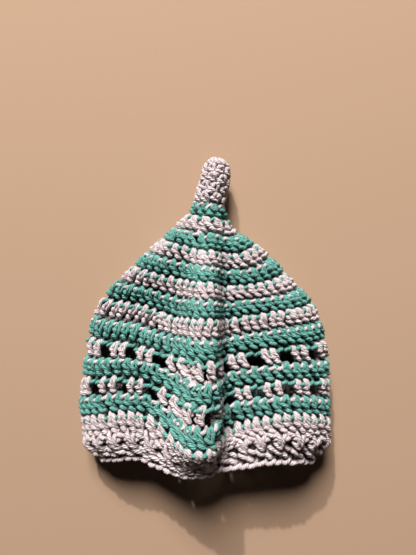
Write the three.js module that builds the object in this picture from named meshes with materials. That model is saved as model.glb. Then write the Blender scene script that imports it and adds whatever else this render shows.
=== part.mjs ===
import * as THREE from "three";

// A crocheted nightcap lying on its back. The stem points to +Y, the mouth to -Y, the front fold to +Z.
// Lengths are in millimetres; the tables below give them as shares of these sizes.
const capHalfWidth = 100;
const capLength = 206;
const foldHeight = 60;
const crownY = 57.5;
const wallThickness = 4.5;
const brimThickness = 6.2;
const stemLength = 37.1;
const stemHeight = 16;
const stemRadius = 11.5;
const roundGap = 0.3;
const roundHeight = 13.5;
const roundSwell = 0.7;
const ribRise = 1.2;
const ribSink = 1.3;
const stemCavityEnd = -4.6;

// Stitches in the full rounds, and the eyelets worked into two of them.
const fullStitches = 60;
const eyeletCount = 20;
const eyeletStitches = fullStitches / eyeletCount;
const firstEyelet = 17.8;
const eyeletHalfWidth = 0.4;
const eyeletTop = 0.2;
const eyeletBottom = 0.8;
const ribCount = 30;

// Where each round ends at the sides, and how it lies on the table.
// Columns: round, left reach, right reach, left side height, right side height, lift of the back, roundness of the back
const outline = [
  [0, 0.115, 0.125, 0.283, 0.283, 0.1, 1.0],
  [1, 0.18, 0.155, 0.283, 0.283, 0.058, 0.9],
  [2, 0.29, 0.255, 0.267, 0.283, 0.02, 0.5],
  [3, 0.39, 0.365, 0.25, 0.283, 0, 0.2],
  [5, 0.627, 0.6, 0.25, 0.283, 0, 0],
  [7, 0.86, 0.82, 0.25, 0.3, 0, 0],
  [9, 0.98, 0.935, 0.25, 0.3, 0, 0],
  [10, 0.998, 0.955, 0.25, 0.3, 0, 0],
  [11, 1.015, 0.965, 0.25, 0.3, 0, 0],
  [12, 1.03, 0.965, 0.25, 0.3, 0, 0],
  [13, 1.015, 0.965, 0.25, 0.3, 0, 0],
  [14.3, 0.975, 0.95, 0.25, 0.3, 0, 0],
  [15.6, 0.86, 0.84, 0.25, 0.3, 0, 0],
];

// The front layer's fold: a shoulder on the left, the raised fold with its foot and crest, the valley beside it
// and the bulge on the right.
// Columns: round, shoulder z, foot x, foot z, crest left x, crest right x, crest z, valley x, valley z, bulge x, bulge z
const folds = [
  [0, 0.417, -0.045, 0.455, -0.015, 0.03, 0.467, 0.06, 0.45, 0.085, 0.408],
  [1, 0.442, -0.07, 0.483, -0.02, 0.045, 0.5, 0.085, 0.475, 0.11, 0.425],
  [2, 0.467, -0.12, 0.508, -0.03, 0.065, 0.542, 0.125, 0.5, 0.175, 0.45],
  [3, 0.483, -0.16, 0.517, -0.04, 0.075, 0.592, 0.14, 0.517, 0.24, 0.483],
  [5, 0.467, -0.24, 0.483, -0.045, 0.075, 0.692, 0.145, 0.525, 0.38, 0.517],
  [7, 0.433, -0.31, 0.475, -0.05, 0.07, 0.767, 0.15, 0.542, 0.52, 0.567],
  [9, 0.467, -0.37, 0.492, -0.08, 0.06, 0.85, 0.15, 0.567, 0.58, 0.617],
  [10, 0.492, -0.39, 0.5, -0.1, 0.055, 0.892, 0.153, 0.575, 0.59, 0.642],
  [11, 0.517, -0.41, 0.508, -0.115, 0.05, 0.933, 0.155, 0.583, 0.6, 0.667],
  [12, 0.542, -0.43, 0.525, -0.13, 0.04, 0.967, 0.155, 0.592, 0.6, 0.683],
  [13, 0.558, -0.44, 0.542, -0.145, 0.03, 0.975, 0.15, 0.6, 0.59, 0.692],
  [14.3, 0.575, -0.45, 0.542, -0.18, -0.01, 0.867, 0.13, 0.617, 0.58, 0.683],
  [15.6, 0.5, -0.43, 0.508, -0.2, -0.05, 0.7, 0.12, 0.592, 0.54, 0.608],
];

// How far down the cap each round's end runs at the same places.
// Columns: round, left side, shoulder, foot, crest, valley, bulge, right side, middle of the back
const courses = [
  [0, -0.009, 0.003, 0.006, 0.01, 0.011, 0.009, 0.004, -0.012],
  [1, 0.044, 0.057, 0.062, 0.066, 0.065, 0.061, 0.053, 0.049],
  [2, 0.093, 0.112, 0.118, 0.124, 0.125, 0.123, 0.102, 0.104],
  [3, 0.137, 0.166, 0.176, 0.186, 0.19, 0.186, 0.138, 0.158],
  [5, 0.244, 0.282, 0.298, 0.306, 0.315, 0.295, 0.253, 0.274],
  [7, 0.37, 0.402, 0.432, 0.434, 0.437, 0.4, 0.373, 0.4],
  [9, 0.522, 0.543, 0.565, 0.572, 0.573, 0.531, 0.524, 0.536],
  [10, 0.603, 0.596, 0.609, 0.643, 0.63, 0.598, 0.6, 0.607],
  [11, 0.682, 0.666, 0.684, 0.714, 0.697, 0.662, 0.678, 0.677],
  [12, 0.76, 0.724, 0.733, 0.788, 0.75, 0.722, 0.76, 0.745],
  [13, 0.84, 0.794, 0.803, 0.865, 0.847, 0.788, 0.835, 0.813],
  [14.3, 0.924, 0.875, 0.893, 0.93, 0.908, 0.86, 0.913, 0.9],
  [15.6, 0.99, 0.962, 0.981, 0.997, 0.989, 0.959, 0.984, 0.983],
];

// The stem's rounds of tight stitches, counted back from the crown. Its line ends with the crown's own middle.
// Columns: round, lean as a share of the stem's length, reach as a share of it, height and radius as shares of the stem's
const stemLine = [
  [-6, 0.226, 1, 1, 0.07],
  [-5.6, 0.218, 0.954, 1, 0.504],
  [-5, 0.202, 0.849, 1.006, 0.8],
  [-4, 0.175, 0.687, 1.012, 0.948],
  [-3, 0.14, 0.512, 1.019, 0.983],
  [-2, 0.097, 0.337, 1.031, 1],
  [-1, 0.049, 0.162, 1.05, 1.026],
  [0, 0.011, 0, 1.062, 1.043],
];

// How the stitches of the eyelet rounds are drawn out over the fold.
// Columns: stitch, turn in the upper eyelet round, turn in the lower eyelet round
const spread = [
  [0, 0, 0],
  [17.8, 0.29, 0.279],
  [20.8, 0.341, 0.332],
  [23.8, 0.391, 0.381],
  [26.8, 0.456, 0.447],
  [29.8, 0.517, 0.502],
  [32.8, 0.554, 0.569],
  [35.8, 0.608, 0.614],
  [38.8, 0.659, 0.661],
  [41.8, 0.713, 0.713],
  [60, 1, 1],
];
const upperEyeletRound = 9.5;
const lowerEyeletRound = 11.5;
const spreadStart = 7;

// Columns: name, first round line, last round line, yarn
const rounds = [
  ["round_01_green", 0, 1, "green"],
  ["round_02_grey", 1, 2, "grey"],
  ["round_03_green", 2, 3, "green"],
  ["round_04_grey", 3, 4, "grey"],
  ["round_05_green", 4, 5, "green"],
  ["round_06_grey", 5, 6, "grey"],
  ["round_07_green", 6, 7, "green"],
  ["round_08_grey", 7, 8, "grey"],
  ["round_09_green", 8, 9, "green"],
  ["round_10_grey_eyelet", 9, 10, "grey"],
  ["round_11_green", 10, 11, "green"],
  ["round_12_grey_eyelet", 11, 12, "grey"],
  ["round_13_green", 12, 13, "green"],
];

// The brim's two rounds share a line where their ribs stand at full height.
// Columns: name, round lines, share of the ribs' full height on each
const brimRounds = [
  ["brim_round_1_grey", [13, 13.4, 14.35], [0, 1, 1]],
  ["brim_round_2_grey", [14.35, 15.2, 15.6], [1, 1, 0]],
];
const yarnColours = { grey: 0xb9aeb4, green: 0x2f9378 };

// A smooth value or point through a table's knots.
function smoothBetween(knots, at, valueOf, mix) {
  let k = 0;
  while (k < knots.length - 2 && knots[k + 1] <= at) k += 1;
  const width = knots[k + 1] - knots[k];
  const t = (at - knots[k]) / width;
  const before = Math.max(k - 1, 0);
  const after = Math.min(k + 2, knots.length - 1);
  const slopeStart = width / (knots[k + 1] - knots[before]);
  const slopeEnd = width / (knots[after] - knots[k]);
  const h00 = 2 * t ** 3 - 3 * t ** 2 + 1;
  const h10 = t ** 3 - 2 * t ** 2 + t;
  const h01 = 3 * t ** 2 - 2 * t ** 3;
  const h11 = t ** 3 - t ** 2;
  return mix([
    [valueOf(before), -h10 * slopeStart],
    [valueOf(k), h00 - h11 * slopeEnd],
    [valueOf(k + 1), h01 + h10 * slopeStart],
    [valueOf(after), h11 * slopeEnd],
  ]);
}

function mixNumbers(parts) {
  return parts.reduce((sum, [value, weight]) => sum + value * weight, 0);
}

function mixPoints(parts) {
  const sum = new THREE.Vector3();
  parts.forEach(([point, weight]) => sum.addScaledVector(point, weight));
  return sum;
}

// The closed line that one round's end follows round the cap, from the middle of the back over the left side.
function roundLine(row) {
  const [, leftReach, rightReach, leftHigh, rightHigh, liftShare, roundness] = outline[row];
  const [, shoulderZ, footX, footZ, crestLeftX, crestRightX, crestZ, valleyX, valleyZ, bulgeX, bulgeZ] =
    folds[row];
  const [, leftRun, shoulderRun, footRun, crestRun, valleyRun, bulgeRun, rightRun, backRun] = courses[row];
  const quarter = 0.5;
  const corner = 0.86;
  const place = (x, run, z) =>
    new THREE.Vector3(x * capHalfWidth, crownY - run * capLength, z * foldHeight);
  const backZ = (side, share) => {
    const drop = 1 - Math.sqrt(1 - share * share);
    return liftShare + roundness * drop * (side - liftShare);
  };
  const backAt = (side, share) => backRun + (side - backRun) * share * share;
  const between = (a, b, share) => a + (b - a) * share;
  return [
    place(0, backRun, liftShare),
    place(-quarter * leftReach, backAt(leftRun, quarter), backZ(leftHigh, quarter)),
    place(-corner * leftReach, backAt(leftRun, corner), backZ(leftHigh, corner)),
    place(-leftReach, leftRun, leftHigh),
    place(-corner * leftReach, between(leftRun, shoulderRun, 0.5), between(leftHigh, shoulderZ, 0.72)),
    place(-0.62 * leftReach, shoulderRun, shoulderZ),
    place(footX, footRun, footZ),
    place(crestLeftX, crestRun, crestZ - 1 / foldHeight),
    place(crestRightX, crestRun, crestZ),
    place(valleyX, valleyRun, valleyZ),
    place(bulgeX, bulgeRun, bulgeZ),
    place(0.88 * rightReach, between(bulgeRun, rightRun, 0.5), between(rightHigh, bulgeZ, 0.66)),
    place(rightReach, rightRun, rightHigh),
    place(corner * rightReach, backAt(rightRun, corner), backZ(rightHigh, corner)),
    place(quarter * rightReach, backAt(rightRun, quarter), backZ(rightHigh, quarter)),
  ];
}

// A circle of the stem, square to the line through the middles of its neighbours.
function stemCircle(row) {
  const middleOf = ([, lean, reach, height]) =>
    new THREE.Vector3(lean * stemLength, crownY + reach * stemLength, height * stemHeight);
  const along = middleOf(stemLine[Math.max(row - 1, 0)]).sub(middleOf(stemLine[row + 1])).normalize();
  const across = new THREE.Vector3(along.y, -along.x, 0).normalize();
  const up = new THREE.Vector3().crossVectors(across, along);
  const middle = middleOf(stemLine[row]);
  const radius = stemLine[row][4] * stemRadius;
  const points = 16;
  return Array.from({ length: points }, (_, i) => {
    const angle = (2 * Math.PI * i) / points;
    return middle
      .clone()
      .addScaledVector(across, -radius * Math.sin(angle))
      .addScaledVector(up, -radius * Math.cos(angle));
  });
}

// The same line as many points evenly spaced by length, and never below the table.
const pointsRound = 480;
const pointsPerSpan = 40;

function evenlyRound(corners) {
  const curve = new THREE.CatmullRomCurve3(corners, true, "centripetal");
  const fine = curve.getPoints(corners.length * pointsPerSpan);
  fine.forEach((point) => {
    point.z = Math.max(point.z, 0);
  });
  const lengths = [0];
  for (let i = 1; i < fine.length; i += 1) {
    lengths.push(lengths[i - 1] + fine[i].distanceTo(fine[i - 1]));
  }
  const total = lengths[lengths.length - 1];
  const even = [];
  let k = 0;
  for (let i = 0; i < pointsRound; i += 1) {
    const target = (i / pointsRound) * total;
    while (lengths[k + 1] < target) k += 1;
    const t = (target - lengths[k]) / (lengths[k + 1] - lengths[k]);
    even.push(fine[k].clone().lerp(fine[k + 1], t));
  }
  return even;
}

const stemRows = stemLine.slice(0, -1);
const lineRounds = [...stemRows.map((row) => row[0]), ...outline.map((row) => row[0])];
const lines = [
  ...stemRows.map((_, row) => evenlyRound(stemCircle(row))),
  ...outline.map((_, row) => evenlyRound(roundLine(row))),
];

function pointOnLine(line, turn) {
  const place = (turn - Math.floor(turn)) * pointsRound;
  const first = Math.floor(place) % pointsRound;
  const second = (first + 1) % pointsRound;
  return line[first].clone().lerp(line[second], place - Math.floor(place));
}

// The outside of the fabric at a share of a turn and a count of rounds.
function surface(turn, round) {
  return smoothBetween(lineRounds, round, (k) => pointOnLine(lines[k], turn), mixPoints);
}

const capStart = lineRounds[0];
const capEnd = lineRounds[lineRounds.length - 1];

function outward(turn, round) {
  const stepTurn = 0.006;
  const stepRound = 0.12;
  const across = surface(turn + stepTurn, round).sub(surface(turn - stepTurn, round));
  const down = surface(turn, Math.min(round + stepRound, capEnd)).sub(
    surface(turn, Math.max(round - stepRound, capStart)),
  );
  return new THREE.Vector3().crossVectors(down, across).normalize();
}

// A point in the fabric: a height over the outside is plus, a depth under it minus.
function inFabric(turn, round, height) {
  const point = surface(turn, round).addScaledVector(outward(turn, round), height);
  point.z = Math.max(point.z, 0);
  return point;
}

// The turn at which a stitch stands: evenly spaced, but drawn out over the fold lower down the cap.
function stitchTurn(stitch, round) {
  const wrapped = stitch - fullStitches * Math.floor(stitch / fullStitches);
  const even = wrapped / fullStitches;
  const knots = spread.map((row) => row[0]);
  const upper = smoothBetween(knots, wrapped, (k) => spread[k][1], mixNumbers);
  const lower = smoothBetween(knots, wrapped, (k) => spread[k][2], mixNumbers);
  const toLower = THREE.MathUtils.clamp(
    (round - upperEyeletRound) / (lowerEyeletRound - upperEyeletRound),
    0,
    1,
  );
  const drawn = THREE.MathUtils.smoothstep(round, spreadStart, upperEyeletRound);
  return even + drawn * (upper + (lower - upper) * toLower - even);
}

function solidOf(points, faces) {
  const geometry = new THREE.BufferGeometry();
  geometry.setAttribute(
    "position",
    new THREE.Float32BufferAttribute(
      points.flatMap((p) => [p.x, p.y, p.z]),
      3,
    ),
  );
  geometry.setIndex(
    faces.flatMap((f) => (f.length === 4 ? [f[0], f[1], f[2], f[0], f[2], f[3]] : f)),
  );
  geometry.computeVertexNormals();
  return geometry;
}

// A ring of fabric. Cells for which isOpen answers true are left out and walled round; a ring without open cells
// runs straight along its inside.
function ring(columns, rows, outside, inside, isOpen) {
  const points = [];
  rows.forEach((round, r) => {
    columns.forEach((stitch, c) => points.push(outside(stitch, round, r, c)));
  });
  rows.forEach((round, r) => {
    columns.forEach((stitch, c) => points.push(inside(stitch, round, r, c)));
  });
  const wide = columns.length;
  const out = (r, c) => r * wide + (c % wide);
  const inn = (r, c) => rows.length * wide + out(r, c);
  const faces = [];
  const end = rows.length - 1;
  const facingStem = (r, c) => faces.push([out(r, c), out(r, c + 1), inn(r, c + 1), inn(r, c)]);
  const facingMouth = (r, c) => faces.push([out(r, c), inn(r, c), inn(r, c + 1), out(r, c + 1)]);
  const facingOn = (r, c) => faces.push([out(r, c), out(r + 1, c), inn(r + 1, c), inn(r, c)]);
  const facingBack = (r, c) => faces.push([out(r, c), inn(r, c), inn(r + 1, c), out(r + 1, c)]);
  for (let c = 0; c < wide; c += 1) {
    facingStem(0, c);
    facingMouth(end, c);
    if (!isOpen) faces.push([inn(0, c), inn(0, c + 1), inn(end, c + 1), inn(end, c)]);
    for (let r = 0; r < end; r += 1) {
      if (isOpen && isOpen(r, c)) {
        facingMouth(r, c);
        facingStem(r + 1, c);
        facingOn(r, c);
        facingBack(r, c + 1);
      } else {
        faces.push([out(r, c), out(r + 1, c), out(r + 1, c + 1), out(r, c + 1)]);
        if (isOpen) faces.push([inn(r, c), inn(r, c + 1), inn(r + 1, c + 1), inn(r + 1, c)]);
      }
    }
  }
  return solidOf(points, faces);
}

const gapShare = roundGap / 2 / roundHeight;

// The corners of every round stand in line with the sides of the eyelets and the middles between them.
const capColumns = [];
for (let eyelet = 0; eyelet < eyeletCount; eyelet += 1) {
  const middle = firstEyelet + eyelet * eyeletStitches;
  capColumns.push(middle - eyeletHalfWidth, middle + eyeletHalfWidth, middle + eyeletStitches / 2);
}

// A plain round of tall stitches swells a little between its ends.
function plainRound(first, last) {
  const middle = (first + last) / 2;
  return ring(
    capColumns,
    [first + gapShare, middle, last - gapShare],
    (stitch, round) => inFabric(stitchTurn(stitch, round), round, round === middle ? roundSwell : 0),
    (stitch, round) => inFabric(stitchTurn(stitch, round), round, -wallThickness),
  );
}

// An eyelet round skips one stitch in three; each skipped stitch is a hole through the wall.
function eyeletRound(first, last) {
  return ring(
    capColumns,
    [first + gapShare, first + eyeletTop, first + eyeletBottom, last - gapShare],
    (stitch, round) => inFabric(stitchTurn(stitch, round), round, 0),
    (stitch, round) => inFabric(stitchTurn(stitch, round), round, -wallThickness),
    (r, c) => r === 1 && c % 3 === 0,
  );
}

// A brim round: raised and sunk ribs by turns, thicker than the cap.
function brimRound([first, middle, last], ribShares) {
  const ribSides = [-0.34, -0.16, 0.16, 0.34];
  const columns = [];
  for (let rib = 0; rib < ribCount; rib += 1) {
    ribSides.forEach((side) => columns.push(((rib + side) * fullStitches) / ribCount));
  }
  const height = (c) => (c % 4 === 1 || c % 4 === 2 ? ribRise : -ribSink);
  return ring(
    columns,
    [first + gapShare, middle, last - gapShare],
    (stitch, round, r, c) => inFabric(stitchTurn(stitch, round), round, ribShares[r] * height(c)),
    (stitch, round) => inFabric(stitchTurn(stitch, round), round, -brimThickness),
  );
}

// The stem is a narrow tube of tight rounds, closed at its tip and open into the crown.
function stem() {
  const around = 20;
  const stemSwell = 0.5;
  const outerRows = [0 - gapShare, -0.5, -1, -1.5, -2, -2.5, -3, -3.5, -4, -4.5, -5, -5.5, -5.85];
  const innerRows = [0 - gapShare, -1, -2, -3, -4, stemCavityEnd];
  const points = [];
  const ringPoints = (round, height) => {
    for (let i = 0; i < around; i += 1) points.push(inFabric(i / around, round, height));
  };
  const middleOf = (round) => {
    const centre = new THREE.Vector3();
    for (let i = 0; i < around; i += 1) centre.add(surface(i / around, round));
    return centre.divideScalar(around);
  };
  outerRows.forEach((round) => ringPoints(round, Math.abs(round % 1) === 0.5 ? stemSwell : 0));
  const outerTip = points.push(middleOf(capStart)) - 1;
  const innerStart = points.length;
  innerRows.forEach((round) => ringPoints(round, -wallThickness));
  const innerTip = points.push(middleOf(stemCavityEnd - 0.3)) - 1;
  const faces = [];
  const out = (r, c) => r * around + (c % around);
  const inn = (r, c) => innerStart + out(r, c);
  for (let c = 0; c < around; c += 1) {
    faces.push([out(0, c), inn(0, c), inn(0, c + 1), out(0, c + 1)]);
    for (let r = 0; r < outerRows.length - 1; r += 1) {
      faces.push([out(r, c), out(r, c + 1), out(r + 1, c + 1), out(r + 1, c)]);
    }
    faces.push([out(outerRows.length - 1, c), out(outerRows.length - 1, c + 1), outerTip]);
    for (let r = 0; r < innerRows.length - 1; r += 1) {
      faces.push([inn(r, c), inn(r + 1, c), inn(r + 1, c + 1), inn(r, c + 1)]);
    }
    faces.push([inn(innerRows.length - 1, c), innerTip, inn(innerRows.length - 1, c + 1)]);
  }
  return solidOf(points, faces);
}

const cap = new THREE.Group();
cap.name = "nightcap";

function addPiece(name, geometry, yarn) {
  const material = new THREE.MeshStandardMaterial({ color: yarnColours[yarn], roughness: 0.9 });
  const piece = new THREE.Mesh(geometry, material);
  piece.name = name;
  cap.add(piece);
}

addPiece("stem_grey", stem(), "grey");
rounds.forEach(([name, first, last, yarn]) => {
  const geometry = name.endsWith("eyelet") ? eyeletRound(first, last) : plainRound(first, last);
  addPiece(name, geometry, yarn);
});
brimRounds.forEach(([name, lines, shares]) => addPiece(name, brimRound(lines, shares), "grey"));

// The origin is the middle of the cap's box, on the table.
const box = new THREE.Box3().setFromObject(cap);
const middle = box.getCenter(new THREE.Vector3());
cap.children.forEach((piece) => piece.geometry.translate(-middle.x, -middle.y, -box.min.z));

export default cap;
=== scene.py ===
import bpy
import numpy as np
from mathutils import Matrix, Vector


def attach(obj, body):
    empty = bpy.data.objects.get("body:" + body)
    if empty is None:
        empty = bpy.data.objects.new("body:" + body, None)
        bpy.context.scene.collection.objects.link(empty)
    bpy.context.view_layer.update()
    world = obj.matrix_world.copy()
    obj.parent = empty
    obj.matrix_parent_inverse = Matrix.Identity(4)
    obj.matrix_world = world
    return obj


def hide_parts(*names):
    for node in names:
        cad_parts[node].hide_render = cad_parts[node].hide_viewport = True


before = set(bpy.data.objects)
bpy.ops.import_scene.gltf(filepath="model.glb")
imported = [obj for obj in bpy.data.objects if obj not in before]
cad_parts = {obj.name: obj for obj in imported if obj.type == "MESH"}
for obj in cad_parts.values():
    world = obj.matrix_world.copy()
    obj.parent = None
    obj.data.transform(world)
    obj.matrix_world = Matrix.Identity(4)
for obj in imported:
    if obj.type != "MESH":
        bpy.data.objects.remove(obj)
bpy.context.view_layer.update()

# The camera. It looks straight down on the cap, as close as an arm holds it over the table.
camera_height = 0.350
camera_over = (0.003, 0.0267)
camera = bpy.data.cameras.new("camera")
camera.lens = 27.04
camera.sensor_width = 36.0
camera.clip_start = 0.01
camera_stand = bpy.data.objects.new("camera", camera)
camera_stand.location = (*camera_over, camera_height)
bpy.context.scene.collection.objects.link(camera_stand)
bpy.context.scene.camera = camera_stand

# The stem. A narrow tube of tight short stitches in the light yarn, worked in a spiral from its closed tip down to
# the crown, of soft plied yarn about 3 mm thick. The lengths below are in millimetres; the cap's lie on the table is
# given once here, as shares of these sizes, because the stem and every round follow it.
cap_half_width = 100.0
cap_length = 206.0
fold_height = 60.0
crown_y = 57.5
stem_length = 37.1
stem_height = 16.0
stem_radius = 11.5
yarn_radius = 1.46
# A tall stitch of the full rounds, and how many of them go round
stitch_width, round_height = 7.3, 13.5
full_stitches = 60
# The lie is measured from a place on the table 57.5 mm below the crown; this brings the middle of its box to 0
off_centre = np.array([2.998, 26.694, 0.0])
# Metres of yarn to one twist, and the heights under the outside between which the painted shade on the yarn deepens
twist_length = 0.007
shallow, deepest = -1.9, -4.8
points_round = 480

# Columns: round, left reach, right reach, left side's height, right side's height, lift and roundness of the back
outline = np.array([
    [0, 0.115, 0.125, 0.283, 0.283, 0.1, 1],
    [1, 0.18, 0.165, 0.283, 0.283, 0.058, 0.9],
    [2, 0.29, 0.28, 0.267, 0.283, 0.02, 0.5],
    [3, 0.39, 0.405, 0.25, 0.283, 0, 0.2],
    [5, 0.627, 0.642, 0.25, 0.283, 0, 0],
    [7, 0.86, 0.848, 0.25, 0.3, 0, 0],
    [9, 0.98, 0.94, 0.25, 0.3, 0, 0],
    [10, 0.998, 0.955, 0.25, 0.3, 0, 0],
    [11, 1.015, 0.965, 0.25, 0.3, 0, 0],
    [12, 1.03, 0.965, 0.25, 0.3, 0, 0],
    [13, 1.015, 0.965, 0.25, 0.3, 0, 0],
    [14.3, 0.975, 0.95, 0.25, 0.3, 0, 0],
    [15.6, 0.86, 0.84, 0.25, 0.3, 0, 0],
])
# Columns: round, shoulder z, foot x and z, crest left x, crest right x, crest z, valley x and z, bulge x and z
folds = np.array([
    [0, 0.417, -0.045, 0.455, -0.015, 0.03, 0.467, 0.06, 0.45, 0.085, 0.408],
    [1, 0.442, -0.07, 0.483, -0.02, 0.045, 0.5, 0.085, 0.475, 0.11, 0.425],
    [2, 0.475, -0.12, 0.515, -0.03, 0.05, 0.55, 0.12, 0.48, 0.175, 0.45],
    [3, 0.495, -0.16, 0.53, -0.045, 0.04, 0.625, 0.135, 0.455, 0.24, 0.483],
    [5, 0.4, -0.24, 0.45, -0.055, 0.042, 0.755, 0.135, 0.42, 0.38, 0.517],
    [7, 0.27, -0.31, 0.375, -0.06, 0.05, 0.835, 0.15, 0.43, 0.52, 0.567],
    [9, 0.41, -0.37, 0.455, -0.085, 0.05, 0.885, 0.158, 0.47, 0.58, 0.617],
    [10, 0.492, -0.39, 0.5, -0.1, 0.055, 0.912, 0.163, 0.51, 0.59, 0.642],
    [11, 0.517, -0.41, 0.508, -0.115, 0.05, 0.937, 0.165, 0.525, 0.6, 0.667],
    [12, 0.542, -0.43, 0.525, -0.13, 0.04, 0.967, 0.165, 0.537, 0.6, 0.683],
    [13, 0.558, -0.44, 0.542, -0.145, 0.03, 0.975, 0.16, 0.545, 0.59, 0.692],
    [14.3, 0.575, -0.45, 0.542, -0.18, -0.01, 0.81, 0.14, 0.562, 0.58, 0.683],
    [15.6, 0.5, -0.43, 0.508, -0.2, -0.05, 0.7, 0.12, 0.592, 0.54, 0.608],
])
# Columns: round, left side, shoulder, foot, crest, valley, bulge, right side, middle of the back
courses = np.array([
    [0, -0.009, 0.003, 0.006, 0.01, 0.011, 0.015, 0.01, -0.012],
    [1, 0.044, 0.057, 0.062, 0.066, 0.071, 0.073, 0.065, 0.049],
    [2, 0.093, 0.112, 0.118, 0.13, 0.135, 0.14, 0.119, 0.104],
    [3, 0.137, 0.166, 0.176, 0.194, 0.202, 0.204, 0.156, 0.158],
    [5, 0.244, 0.282, 0.298, 0.31, 0.327, 0.313, 0.271, 0.274],
    [7, 0.37, 0.402, 0.438, 0.442, 0.449, 0.417, 0.39, 0.4],
    [9, 0.522, 0.543, 0.575, 0.586, 0.587, 0.544, 0.536, 0.536],
    [10, 0.603, 0.596, 0.621, 0.661, 0.647, 0.606, 0.607, 0.607],
    [11, 0.682, 0.666, 0.694, 0.733, 0.714, 0.665, 0.681, 0.677],
    [12, 0.76, 0.724, 0.741, 0.807, 0.765, 0.722, 0.76, 0.745],
    [13, 0.84, 0.794, 0.811, 0.884, 0.857, 0.788, 0.835, 0.813],
    [14.3, 0.924, 0.875, 0.893, 0.938, 0.908, 0.86, 0.913, 0.9],
    [15.6, 0.99, 0.962, 0.981, 0.997, 0.989, 0.959, 0.984, 0.983],
])
# Columns: round, lean, reach, height and radius as shares of the stem's
stem_line = np.array([
    [-6, 0.226, 1, 1, 0.07],
    [-5.6, 0.218, 0.954, 1, 0.504],
    [-5, 0.202, 0.849, 1.006, 0.8],
    [-4, 0.175, 0.687, 1.012, 0.948],
    [-3, 0.14, 0.512, 1.019, 0.983],
    [-2, 0.097, 0.337, 1.031, 1],
    [-1, 0.049, 0.162, 1.05, 1.026],
    [0, 0.011, 0, 1.062, 1.043],
])
# Columns: stitch, turn in the upper eyelet round, turn in the lower eyelet round
spread = np.array([
    [0, 0, 0],
    [17.8, 0.283, 0.272],
    [20.8, 0.333, 0.324],
    [23.8, 0.383, 0.373],
    [26.8, 0.456, 0.447],
    [29.8, 0.517, 0.502],
    [32.8, 0.554, 0.569],
    [35.8, 0.612, 0.618],
    [38.8, 0.667, 0.669],
    [41.8, 0.719, 0.719],
    [44.8, 0.776, 0.776],
    [50.8, 0.873, 0.873],
    [60, 1, 1],
])
# Rounds: where the spreading starts, where each eyelet column holds, and where the brim draws it in again
spread_start, upper_eyelet_round, lower_eyelet_round, slack_start = 7.0, 9.5, 11.5, 12.5
brim_draws_in = 0.7
# The stitches are drawn flat over the crest and stand up on the shoulder: turn, reach in turns, change of height
tension = ((0.46, 0.045, -0.56), (0.32, 0.05, 0.12))
# Yarn is laid as straight steps in mm, a new one wherever it has turned by more than about 17 degrees
shortest_step, longest_step, straight_enough = 0.4, 2.4, 0.955


def round_line(row):
    """The line that one round's end follows round the cap, from the middle of the back over the left side."""
    _, left, right, left_high, right_high, lift, roundness = outline[row]
    _, shoulder_z, foot_x, foot_z, crest_left, crest_right, crest_z, valley_x, valley_z, bulge_x, bulge_z = folds[row]
    _, left_run, shoulder_run, foot_run, crest_run, valley_run, bulge_run, right_run, back_run = courses[row]

    def back_z(side, share):
        return lift + roundness * (1 - (1 - share**2) ** 0.5) * (side - lift)

    def back_at(side, share):
        return back_run + (side - back_run) * share**2

    corners = np.array([
        (0, back_run, lift),
        (-0.5 * left, back_at(left_run, 0.5), back_z(left_high, 0.5)),
        (-0.86 * left, back_at(left_run, 0.86), back_z(left_high, 0.86)),
        (-left, left_run, left_high),
        (-0.86 * left, (left_run + shoulder_run) / 2, left_high + 0.72 * (shoulder_z - left_high)),
        (-0.62 * left, shoulder_run, shoulder_z),
        (foot_x, foot_run, foot_z),
        (crest_left, crest_run, crest_z - 1 / fold_height),
        (crest_right, crest_run, crest_z),
        (valley_x, valley_run, valley_z),
        (bulge_x, bulge_run, bulge_z),
        (0.88 * right, (bulge_run + right_run) / 2, right_high + 0.66 * (bulge_z - right_high)),
        (right, right_run, right_high),
        (0.86 * right, back_at(right_run, 0.86), back_z(right_high, 0.86)),
        (0.5 * right, back_at(right_run, 0.5), back_z(right_high, 0.5)),
    ])
    return corners * (cap_half_width, -cap_length, fold_height) + (0, crown_y, 0)


def stem_circle(row):
    """One round of the stem, square to the stem's own line."""
    middles = stem_line[:, 1:4] * (stem_length, stem_length, stem_height) + (0, crown_y, 0)
    along = middles[max(row - 1, 0)] - middles[row + 1]
    along /= np.linalg.norm(along)
    across = np.array([along[1], -along[0], 0]) / np.hypot(along[0], along[1])
    up = np.cross(across, along)
    angle = np.linspace(0, 2 * np.pi, 16, endpoint=False)[:, None]
    return middles[row] - stem_line[row, 4] * stem_radius * (np.sin(angle) * across + np.cos(angle) * up)


def smooth_through(points, closed, per_span):
    """Points along a smooth line through the given ones, spaced by how far apart those are."""
    points = np.asarray(points, float)
    if closed:
        before, after, last = np.roll(points, 1, 0), np.roll(points, -1, 0), np.roll(points, -2, 0)
    else:
        before = np.vstack([2 * points[0] - points[1], points[:-2]])
        after = points[1:]
        last = np.vstack([points[2:], 2 * points[-1] - points[-2]])
        points = points[:-1]

    def stretch(a, b):
        return np.maximum(np.linalg.norm(b - a, axis=1) ** 0.5, 1e-4)[:, None]

    d0, d1, d2 = stretch(before, points), stretch(points, after), stretch(after, last)
    leave = ((points - before) / d0 - (after - before) / (d0 + d1) + (after - points) / d1) * d1
    arrive = ((after - points) / d1 - (last - points) / (d1 + d2) + (last - after) / d2) * d1
    t = np.linspace(0, 1, per_span, endpoint=False)[None, :, None]
    a, m, b, n = (x[:, None, :] for x in (points, leave, after, arrive))
    line = (2*t**3 - 3*t**2 + 1)*a + (t**3 - 2*t**2 + t)*m + (3*t**2 - 2*t**3)*b + (t**3 - t**2)*n
    line = line.reshape(-1, points.shape[1])
    return line if closed else np.vstack([line, after[-1]])


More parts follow.
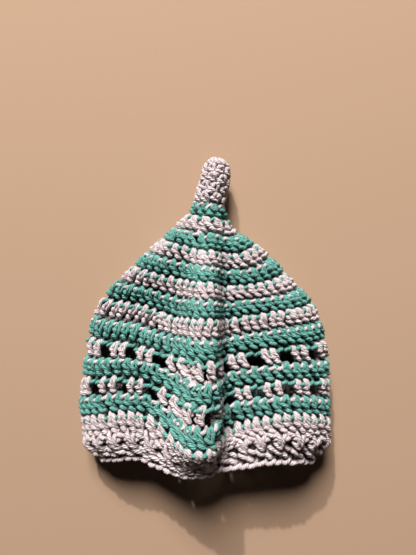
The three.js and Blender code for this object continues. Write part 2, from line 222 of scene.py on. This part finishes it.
def evenly_round(corners):
    """The same line as many points evenly spaced by length, and never below the table."""
    fine = smooth_through(corners, True, 40)
    fine[:, 2] = np.maximum(fine[:, 2], 0)
    fine = np.vstack([fine, fine[:1]])
    far = np.concatenate([[0], np.cumsum(np.linalg.norm(np.diff(fine, axis=0), axis=1))])
    even = np.arange(points_round) / points_round * far[-1]
    return np.stack([np.interp(even, far, fine[:, k]) for k in range(3)], 1)


line_rounds = np.concatenate([stem_line[:-1, 0], outline[:, 0]])
lines = np.array(
    [evenly_round(stem_circle(row)) for row in range(len(stem_line) - 1)]
    + [evenly_round(round_line(row)) for row in range(len(outline))]
)


def between_knots(knots, at):
    """The four knots round a place, and how much each weighs there."""
    k = np.clip(np.searchsorted(knots, at, side="right") - 1, 0, len(knots) - 2)
    before, after = np.maximum(k - 1, 0), np.minimum(k + 2, len(knots) - 1)
    width = knots[k + 1] - knots[k]
    t = (at - knots[k]) / width
    leave, arrive = width / (knots[k + 1] - knots[before]), width / (knots[after] - knots[k])
    h00, h10, h01, h11 = 2*t**3 - 3*t**2 + 1, t**3 - 2*t**2 + t, 3*t**2 - 2*t**3, t**3 - t**2
    return (before, -h10 * leave), (k, h00 - h11 * arrive), (k + 1, h01 + h10 * leave), (after, h11 * arrive)


def outside(turn, at_round):
    """The outside of the fabric at a share of a turn and a count of rounds."""
    place = (turn % 1.0) * points_round
    first = np.floor(place).astype(int) % points_round
    share = (place - np.floor(place))[:, None]
    total = 0
    for k, weight in between_knots(line_rounds, at_round):
        here = lines[k, first] * (1 - share) + lines[k, (first + 1) % points_round] * share
        total = total + here * weight[:, None]
    return total


def outward(turn, at_round):
    """The way that the fabric faces there."""
    aside, on = 0.006, 0.12
    across = outside(turn + aside, at_round) - outside(turn - aside, at_round)
    below, over = np.minimum(at_round + on, line_rounds[-1]), np.maximum(at_round - on, line_rounds[0])
    down = outside(turn, below) - outside(turn, over)
    square = np.cross(down, across)
    return square / np.linalg.norm(square, axis=1, keepdims=True)


def stitch_turn(stitch, at_round):
    """The turn at which a stitch stands: evenly spaced, but drawn out over the fold lower down the cap."""
    even = stitch / full_stitches
    within = stitch % full_stitches
    upper, lower = (
        sum(spread[k, column] * weight for k, weight in between_knots(spread[:, 0], within)) for column in (1, 2)
    )
    to_lower = np.clip((at_round - upper_eyelet_round) / (lower_eyelet_round - upper_eyelet_round), 0, 1)
    drawn = np.clip((at_round - spread_start) / (upper_eyelet_round - spread_start), 0, 1)
    slack = np.clip((at_round - slack_start) / (line_rounds[-1] - slack_start), 0, 1)
    drawn = drawn**2 * (3 - 2 * drawn) * (1 - brim_draws_in * slack)
    return even + drawn * (upper + (lower - upper) * to_lower - within / full_stitches)


def lay_yarn(name, path, closed, finish, node, loose=0.03, plump=1.05):
    """Yarn laid along a path of (stitch, round, height over the outside in mm), as one round tube.

    plump is its thickness as a share of the usual, and loose how much that comes and goes."""
    first, last = line_rounds[0] + 0.02, line_rounds[-1] - 0.02
    if closed:
        path = np.vstack([path[-3:] - (full_stitches, 0, 0), path, path[:4] + (full_stitches, 0, 0)])
    steps = 4
    fabric = (stitch_width, round_height, 1.0)
    fine = smooth_through(path * fabric, False, steps) / fabric
    if closed:
        fine = fine[3 * steps:-4 * steps]

    # Past the cap's last line the fabric runs straight on, and no yarn sinks into the table
    beyond = np.maximum(fine[:, 1] - last, 0)[:, None]
    turn, at_round = stitch_turn(fine[:, 0], fine[:, 1]), np.clip(fine[:, 1], first, last)
    place = outside(turn, at_round)
    if beyond.any():
        edge = np.full_like(turn, last)
        run_on = (outside(turn, edge) - outside(turn, edge - 0.2)) / 0.2
        place = place + run_on * beyond
    height = fine[:, 2] * (1 + sum(more * np.exp(-(((turn % 1.0) - at) / reach) ** 2) for at, reach, more in tension))
    place = place + outward(turn, at_round) * height[:, None]
    place[:, 2] = np.maximum(place[:, 2], yarn_radius * (plump + loose))

    keep, way = [0], None
    for i in range(1, len(place)):
        step = place[i] - place[keep[-1]]
        length = np.linalg.norm(step)
        if length < shortest_step:
            continue
        heading = step / length
        if way is None or length > longest_step or heading @ way < straight_enough:
            keep.append(i)
            way = heading
    laid = (place[keep] + off_centre) * 0.001

    curve = bpy.data.curves.new(name, "CURVE")
    curve.dimensions = "3D"
    curve.bevel_depth = yarn_radius * 0.001
    curve.bevel_resolution = 2
    curve.use_fill_caps = not closed
    spline = curve.splines.new("POLY")
    spline.points.add(len(laid) - 1)
    spline.points.foreach_set("co", np.column_stack([laid, np.ones(len(laid))]).ravel())
    thick_and_thin = np.sin(np.arange(len(laid)) * 0.37 + len(laid))
    spline.points.foreach_set("radius", plump + loose * thick_and_thin)
    spline.use_cyclic_u = closed
    spline.use_smooth = True
    holder = bpy.data.objects.new(name + "_path", curve)
    bpy.context.scene.collection.objects.link(holder)
    mesh = bpy.data.meshes.new_from_object(holder.evaluated_get(bpy.context.evaluated_depsgraph_get()))
    bpy.data.objects.remove(holder)
    mesh.name = name

    # The twist is even along the whole length of the yarn
    length = np.linalg.norm(np.diff(laid, axis=0), axis=1).sum()
    uv = mesh.uv_layers[0].uv
    flat = np.empty(len(uv) * 2)
    uv.foreach_get("vector", flat)
    flat[0::2] = np.round(length / twist_length) * flat[0::2]
    uv.foreach_set("vector", flat)
    mesh.polygons.foreach_set("use_smooth", [True] * len(mesh.polygons))

    # How deep in the fabric each place of the yarn is, for the shade painted on the deeper yarn
    depth = np.clip((shallow - height[keep]) / (shallow - deepest), 0, 1)
    ring = len(mesh.vertices) // len(laid)
    depths = np.zeros(len(mesh.vertices))
    depths[:ring * len(laid)] = np.repeat(depth, ring)
    mesh.attributes.new("depth", "FLOAT", "POINT").data.foreach_set("value", depths)

    piece = bpy.data.objects.new(name, mesh)
    bpy.context.scene.collection.objects.link(piece)
    piece.data.materials.append(finish)
    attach(piece, "root")
    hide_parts(node)


class Shade:
    """A socket of a finish's nodes, so that arithmetic on it adds Math nodes."""

    def __init__(self, tree, socket):
        self.tree, self.socket = tree, socket

    def node(self, kind, settings=None, sockets=None):
        made = self.tree.nodes.new(kind)
        for key, value in (settings or {}).items():
            setattr(made, key, value)
        for key, value in (sockets or {}).items():
            if isinstance(value, Shade):
                self.tree.links.new(value.socket, made.inputs[key])
            else:
                made.inputs[key].default_value = value
        return made

    def out(self, made, name):
        return Shade(self.tree, made.outputs[name])

    def sum_of(self, operation, first, second=0.0):
        made = self.node("ShaderNodeMath", {"operation": operation}, {0: first, 1: second})
        return self.out(made, 0)

    def __add__(self, other): return self.sum_of("ADD", self, other)
    def __radd__(self, other): return self.sum_of("ADD", other, self)
    def __sub__(self, other): return self.sum_of("SUBTRACT", self, other)
    def __rsub__(self, other): return self.sum_of("SUBTRACT", other, self)
    def __mul__(self, other): return self.sum_of("MULTIPLY", self, other)
    def __rmul__(self, other): return self.sum_of("MULTIPLY", other, self)
    def __pow__(self, other): return self.sum_of("POWER", self, other)


def yarn_finish(name, lit, shade_and_dark_dye):
    """Soft plied yarn: three plies twisted together, fine fibres along them, a matted nap, an uneven dye and painted
    shade.
    """
    finish = bpy.data.materials.new(name)
    finish.use_nodes = True
    tree = finish.node_tree
    tree.nodes.clear()
    start = Shade(tree, None)

    def noise(dimensions, place, scale, detail):
        sockets = {"Vector": place, "Scale": scale, "Detail": detail}
        return start.out(start.node("ShaderNodeTexNoise", {"noise_dimensions": dimensions}, sockets), 0)

    def mixed(share, first, second):
        made = start.node(
            "ShaderNodeMix",
            {"data_type": "RGBA", "clamp_factor": True},
            {"Factor": share, "A": first, "B": second},
        )
        return start.out(made, "Result")

    uv = start.node("ShaderNodeUVMap", {"uv_map": "UVMap"})
    parts = start.node("ShaderNodeSeparateXYZ", sockets={0: start.out(uv, 0)})
    along, round_it = start.out(parts, "X"), start.out(parts, "Y")
    phase = (along + round_it) * 4.0
    ply = start.sum_of("ABSOLUTE", start.sum_of("SINE", phase * np.pi))
    # Painted shade falls in the grooves between the plies
    groove = 1.0 - ply
    fibre_place = start.out(start.node("ShaderNodeCombineXYZ", sockets={0: phase * 7.0, 1: along * 0.6}), 0)
    fibres = noise("2D", fibre_place, 1.0, 3.0)
    where = start.out(start.node("ShaderNodeTexCoord"), "Object")
    dye = noise("3D", where, 90.0, 3.0)
    nap = noise("3D", where, 480.0, 4.0)
    within = start.out(start.node("ShaderNodeAttribute", {"attribute_name": "depth"}), "Fac")

    # Painted shade between the plies and on yarn deep inside a stitch, mixed with an uneven dye, fibres and nap; the
    # innermost yarn is painted nearly black as shade
    depth = 0.75 * groove**1.5 + 0.6 * (fibres - 0.5) + 0.5 * (dye - 0.5) + 2.0 * (nap - 0.5) + 0.95 * within
    dyed_and_painted_shade = mixed(depth, (*lit, 1.0), (*shade_and_dark_dye, 1.0))
    # Painted shade: the yarn deepest in a stitch goes nearly black
    shaded = mixed(0.55 * within**8, dyed_and_painted_shade, (0.02, 0.015, 0.012, 1.0))
    relief = ply**0.7 + 0.15 * fibres + 1.2 * nap
    bump = start.node("ShaderNodeBump", sockets={"Strength": 1.0, "Distance": 0.0007, "Height": relief})
    shader = start.node(
        "ShaderNodeBsdfPrincipled",
        sockets={
            "Base Color": shaded,
            "Normal": start.out(bump, 0),
            "Roughness": 0.75,
            "Sheen Weight": 0.12,
            "Sheen Roughness": 0.6,
            "Specular IOR Level": 0.2,
        },
    )
    start.node("ShaderNodeOutputMaterial", sockets={"Surface": start.out(shader, 0)})
    return finish


# Colours: on top of the yarn in the light, then a darker colour used both for the uneven dye and as painted shade
# between the plies and inside the stitches
grey_yarn = yarn_finish("grey_yarn", (0.62, 0.55, 0.58), (0.37, 0.30, 0.32))
green_yarn = yarn_finish("green_yarn", (0.125, 0.385, 0.345), (0.010, 0.08, 0.07))
finishes = {"grey": grey_yarn, "green": green_yarn}
# No two stitches come out alike
hand = np.random.default_rng(7)

# A short stitch as it shows upside down: columns across in stitches, down in rounds, height over the outside in mm
short_stitch = np.array([
    (-0.12, 0.00, -4.2), (-0.13, -0.24, -3.0), (-0.13, -0.16, -1.2), (-0.20, 0.04, -0.4), (-0.24, 0.24, -0.9),
    (-0.20, 0.40, -2.4), (-0.36, 0.34, -4.0), (-0.46, 0.28, -2.8), (-0.34, 0.34, -1.0), (-0.10, 0.46, -0.2),
    (0.14, 0.58, -0.8), (0.26, 0.66, -2.6), (0.30, 0.48, -3.0), (0.28, 0.26, -1.2), (0.22, 0.04, -0.4),
    (0.14, -0.16, -1.2), (0.12, -0.24, -3.0), (0.12, 0.10, -4.2), (0.06, 0.90, -4.0), (0.16, 1.04, -2.6),
    (0.30, 0.98, -0.9), (0.52, 0.88, -0.3), (0.72, 0.80, -1.2), (0.84, 0.76, -3.0), (0.80, 0.40, -4.2),
])
# Eight stitches to a round, each round starting a little further on; the shifts are how uneven they come out
stem_stitches = 8
stem_rounds = 5
stem_first_round = -5.65
stem_round_height = 5.75 / stem_rounds
climb = 0.4
stem_loop_shift, stem_stitch_shift = (0.2, 0.03, 0.12), (0.5, 0.05, 0.2)
stem_path = []
for count in range(stem_stitches * stem_rounds):
    row = count // stem_stitches
    stitch = short_stitch * (full_stitches / stem_stitches, stem_round_height, 1.0)
    uneven = hand.normal(0, 1, stitch.shape) * stem_loop_shift + hand.normal(0, 1, 3) * stem_stitch_shift
    place = ((count + climb * row) * full_stitches / stem_stitches, stem_first_round + row * stem_round_height, 0.3)
    stem_path.append(stitch + uneven + place)
lay_yarn("stem", np.vstack(stem_path), False, grey_yarn, "stem_grey", loose=0.04)

# The plain rounds. Each is one length of yarn worked into the round above in tall stitches: two legs come over the
# chain of the round before, two slanting wraps cross them, and a slanting chain strand closes the stitch below.
tall_stitch = np.array([
    (-0.50, 0.84, -5.2), (0.34, 0.66, -5.7), (-0.52, 0.46, -5.7), (0.36, 0.26, -5.7), (-0.46, 0.04, -5.4),
    (-0.11, -0.18, -3.2), (-0.12, -0.13, -1.3), (-0.18, 0.00, -0.5), (-0.21, 0.12, -0.9), (-0.18, 0.22, -2.4),
    (-0.10, 0.30, -4.0), (-0.28, 0.24, -4.2), (-0.38, 0.19, -2.6), (-0.32, 0.20, -1.0), (-0.14, 0.26, -0.1),
    (0.04, 0.33, -1.0), (0.11, 0.37, -2.8), (0.08, 0.46, -4.6), (-0.04, 0.48, -4.0), (-0.01, 0.47, -2.4),
    (0.10, 0.49, -0.9), (0.26, 0.54, -0.2), (0.41, 0.59, -1.1), (0.47, 0.62, -3.0), (0.42, 0.60, -4.4),
    (0.32, 0.42, -2.9), (0.26, 0.26, -1.6), (0.22, 0.12, -0.9), (0.18, 0.00, -0.5), (0.12, -0.13, -1.3),
    (0.11, -0.18, -3.2), (0.12, 0.00, -4.7), (0.12, 0.50, -5.2), (0.06, 0.92, -4.6), (0.12, 1.03, -3.0),
    (0.28, 1.01, -1.2), (0.50, 0.97, -0.4), (0.72, 0.93, -1.2), (0.88, 0.90, -3.2), (0.78, 0.70, -4.8),
])
# Stitches that share a base stand work_over of a stitch apart on it, and lean towards it in their upper 0.6
work_over = 0.45
leaning_share = 0.6
loop_shift, stitch_shift = (0.028, 0.014, 0.16), (0.05, 0.022, 0.3)


def work_round(first, last, bodies, bases, stitch_widths, shapes):
    """One round's path: each stitch stands at its body's place, and its legs reach to its base above."""
    path = []
    for body, base, width, shape in zip(bodies, bases, stitch_widths, shapes):
        stitch = shape + hand.normal(0, 1, shape.shape) * loop_shift + hand.normal(0, 1, 3) * stitch_shift
        to_base = np.clip(1 - stitch[:, 1] / leaning_share, 0, 1)
        to_base = to_base**2 * (3 - 2 * to_base)
        stitch[:, 0] = body + stitch[:, 0] * width + (base - body) * to_base
        stitch[:, 1] = first + stitch[:, 1] * (last - first)
        path.append(stitch)
    return np.vstack(path)


# Columns: node, first round line, last, stitches, yarn
plain_rounds = [
    ("round_01_green", 0, 1, 10, "green"),
    ("round_02_grey", 1, 2, 18, "grey"),
    ("round_03_green", 2, 3, 26, "green"),
    ("round_04_grey", 3, 4, 33, "grey"),
    ("round_05_green", 4, 5, 40, "green"),
    ("round_06_grey", 5, 6, 47, "grey"),
    ("round_07_green", 6, 7, 54, "green"),
    ("round_08_grey", 7, 8, 60, "grey"),
    ("round_09_green", 8, 9, 60, "green"),
]
# The stitch that the first eyelet skips, and the nine stitches round the foot of the stem
first_eyelet = 17.8
above = np.arange(9) * full_stitches / 9
for node, first, last, stitches, yarn in plain_rounds:
    # Which stitch above each one is worked into; where two or three share one, the round grows wider
    into = np.floor((np.arange(stitches) + 0.5) * len(above) / stitches).astype(int)
    sharing = np.bincount(into, minlength=len(above))[into]
    place_among = np.arange(stitches) - np.searchsorted(into, into)
    width = full_stitches / stitches
    bases = above[into] + (place_among - (sharing - 1) / 2) * work_over * width
    bodies = np.arange(stitches) * width
    bodies = bodies + (bases - bodies).mean()
    # From here down the stitches stand in line with the eyelets
    if stitches == full_stitches:
        bodies = np.arange(stitches) + (first_eyelet % 1.0)
        bodies = bodies + np.round((bases - bodies).mean())
    lay_yarn(
        node + "_yarn",
        work_round(first, last, bodies, bases, [width] * stitches, [tall_stitch] * stitches),
        True, finishes[yarn], node,
    )
    above = bodies

# The eyelet rounds and the green rounds under them. Two tall stitches, then one chain over a skipped stitch, all the
# way round in the light yarn; each skipped stitch leaves a square hole, and the stitch under it is worked over the
# chain. The hole beside the fold's crest is drawn nearly shut, and the green stitches under it spread.
eyelets = 20
hole_stitches = full_stitches / eyelets
eyelet_by_crest = 3
chain_strand = np.array([
    (-0.25, 0.86, -4.4), (-0.10, 0.98, -3.8), (0.06, 1.05, -2.8), (0.24, 1.03, -1.5), (0.50, 0.97, -0.8),
    (0.76, 0.91, -1.5), (0.94, 0.88, -3.2),
])
inner_zigzag = tall_stitch[:5]
shut_hole = np.vstack([inner_zigzag * (0.8, 1.0, 0.97), chain_strand])

# The zigzag behind a stitch that stands beside a hole stops short of it
before_hole, after_hole = tall_stitch.copy(), tall_stitch.copy()
before_hole[:5, 0] = np.minimum(before_hole[:5, 0], 0.14)
after_hole[:5, 0] = np.maximum(after_hole[:5, 0], -0.16)

# The stitch that is worked over a chain reaches a little higher
space_stitch = tall_stitch.copy()
space_stitch[:, 1] -= 0.05 * np.clip(1 - space_stitch[:, 1] / 0.4, 0, 1)

# Widths of a pair's stitches, of those drawn over the shut hole and of the green ones under it, and how far over it
# the first reach, at their bodies and at their bases
pair_width, closing_width, spread_width = 0.84, 1.15, 1.2
body_closing, base_closing = 0.4, 0.34
for eyelet_node, first, plain_node in (
    ("round_10_grey_eyelet", 9, "round_11_green"),
    ("round_12_grey_eyelet", 11, "round_13_green"),
):
    holes = first_eyelet + hole_stitches * np.arange(eyelets)
    bodies = (holes[:, None] + (0.0, 1.03, 1.97)).ravel()
    bases = (holes[:, None] + (0.0, 1.02, 1.98)).ravel()
    widths = np.array([1.0, pair_width, pair_width] * eyelets)
    shapes = [chain_strand, after_hole, before_hole] * eyelets
    shut = 3 * eyelet_by_crest
    bodies[[shut - 1, shut + 1]] += (body_closing, -body_closing)
    bases[[shut - 1, shut + 1]] += (base_closing, -base_closing)
    widths[[shut - 1, shut + 1]] = closing_width
    shapes[shut - 2] = shapes[shut - 1] = shapes[shut + 1] = tall_stitch
    shapes[shut] = shut_hole
    lay_yarn(
        eyelet_node + "_yarn",
        work_round(first, first + 1, bodies, bases, widths, shapes),
        True, grey_yarn, eyelet_node,
    )
    bodies = first_eyelet + np.arange(full_stitches)
    widths = np.ones(full_stitches)
    widths[shut - 3:shut + 2] = spread_width
    lay_yarn(
        plain_node + "_yarn",
        work_round(
            first + 1, first + 2, bodies, bodies, widths, [space_stitch, tall_stitch, tall_stitch] * eyelets
        ),
        True, green_yarn, plain_node,
    )

# The brim. Two rounds of the light yarn, looser and fuller than in the cap: stitches raised and sunk by turns. The
# second round is hooked round the posts of the first, from the front and from behind by turns, and ends in a chain
# edge.
brim_fullness = 1.22
brim_step, edge = 14.35, 15.5
raised = tall_stitch + (0, 0, 0.5)
sunk = tall_stitch + (0, 0, -0.1)
bodies = first_eyelet + np.arange(full_stitches)
lay_yarn(
    "brim_round_1_yarn",
    work_round(13, brim_step, bodies, bodies, [1.0] * full_stitches, [raised, sunk] * (full_stitches // 2)),
    True, grey_yarn, "brim_round_1_grey", plump=brim_fullness,
)
front_post = np.array([
    (-0.10, 0.70, -4.6), (-0.14, 0.30, -5.0), (-0.20, -0.20, -4.8), (-0.40, -0.46, -3.0), (-0.42, -0.38, -0.6),
    (-0.30, -0.20, 0.9), (-0.17, 0.00, 1.2), (-0.17, 0.16, 0.8), (-0.20, 0.28, -0.6),
    (-0.16, 0.34, -2.6), (-0.44, 0.20, -2.6), (-0.58, 0.14, -1.2), (-0.44, 0.18, 0.3), (-0.14, 0.28, 1.0),
    (0.14, 0.38, 0.4), (0.30, 0.44, -1.6), (0.10, 0.52, -3.4), (-0.34, 0.50, -2.6), (-0.36, 0.50, -0.9),
    (-0.08, 0.56, 0.5), (0.26, 0.63, 0.4), (0.52, 0.70, -1.0), (0.56, 0.70, -3.0), (0.36, 0.58, -3.4),
    (0.32, 0.44, -1.4), (0.26, 0.30, -0.2), (0.19, 0.12, 0.8), (0.17, -0.02, 1.2), (0.30, -0.22, 0.9),
    (0.42, -0.38, -0.6), (0.42, -0.46, -3.0), (0.24, -0.10, -4.8), (0.12, 0.50, -5.0),
])
back_post = np.array([
    (-0.10, 0.70, -4.8), (-0.20, 0.30, -5.2), (-0.36, -0.10, -4.6), (-0.44, -0.30, -3.0), (-0.34, -0.33, -1.2),
    (-0.05, -0.28, -0.2), (0.26, -0.22, -0.9), (0.42, -0.16, -2.8), (0.26, 0.06, -5.2), (-0.30, 0.10, -5.4),
    (0.30, 0.24, -5.4), (-0.36, 0.34, -5.3), (-0.36, 0.36, -2.8), (0.02, 0.44, -1.3), (0.36, 0.54, -2.4),
    (-0.30, 0.58, -5.0), (0.34, 0.70, -5.0), (-0.30, 0.68, -2.8), (0.03, 0.75, -1.1), (0.34, 0.84, -2.2),
    (0.20, 0.70, -4.8),
])
edge_chain = np.array([
    (0.06, 0.90, -4.2), (-0.04, 1.00, -3.2), (0.12, 1.07, -1.4), (0.46, 1.05, -0.4), (0.80, 1.00, -0.9),
    (0.98, 1.02, -2.6), (0.70, 1.10, -3.8), (0.30, 1.08, -4.5), (0.60, 0.92, -5.3),
])
front_stitch = np.vstack([front_post + (0, 0, -0.6), edge_chain])
back_stitch = np.vstack([back_post, edge_chain])
lay_yarn(
    "brim_round_2_yarn",
    work_round(
        brim_step, edge, bodies, bodies, [1.0] * full_stitches, [front_stitch, back_stitch] * (full_stitches // 2)
    ),
    True, grey_yarn, "brim_round_2_grey", plump=brim_fullness,
)

# The table. A plain pale floor under the cap.
bpy.ops.mesh.primitive_plane_add(size=6.0, location=(0, 0, 0))
table = bpy.context.object
table.name = "table"
paint = bpy.data.materials.new("table_paint")
paint.use_nodes = True
plain = paint.node_tree.nodes["Principled BSDF"].inputs
plain["Base Color"].default_value = (0.41, 0.282, 0.197, 1)
plain["Roughness"].default_value = 0.9
plain["Specular IOR Level"].default_value = 0.1
table.data.materials.append(paint)

# The light. A hard lamp low beyond the stem, a little to its left, and a broad soft one higher behind it. A faint
# warm fill comes from all round.
key = bpy.data.lights.new("key", "SUN")
key.energy = 2.8
key.angle = 0.025
key.color = (1.0, 0.97, 0.93)
key_stand = bpy.data.objects.new("key", key)
key_stand.rotation_euler = Vector((0.43, -1.85, -1.0)).to_track_quat("-Z", "Y").to_euler()
bpy.context.scene.collection.objects.link(key_stand)
soft = bpy.data.lights.new("soft", "AREA")
soft.shape = "DISK"
soft.size = 1.05
soft.energy = 122.0
soft.color = (1.0, 0.93, 0.87)
soft_stand = bpy.data.objects.new("soft", soft)
soft_stand.location = (-0.30, 2.14, 1.64)
soft_stand.rotation_euler = Vector((0.20, -1.43, -1.09)).to_track_quat("-Z", "Y").to_euler()
bpy.context.scene.collection.objects.link(soft_stand)
world = bpy.data.worlds.new("fill")
world.use_nodes = True
fill = world.node_tree.nodes["Background"].inputs
fill["Color"].default_value = (1.0, 0.82, 0.72, 1)
fill["Strength"].default_value = 0.02
bpy.context.scene.world = world
bpy.context.scene.view_settings.view_transform = "Standard"
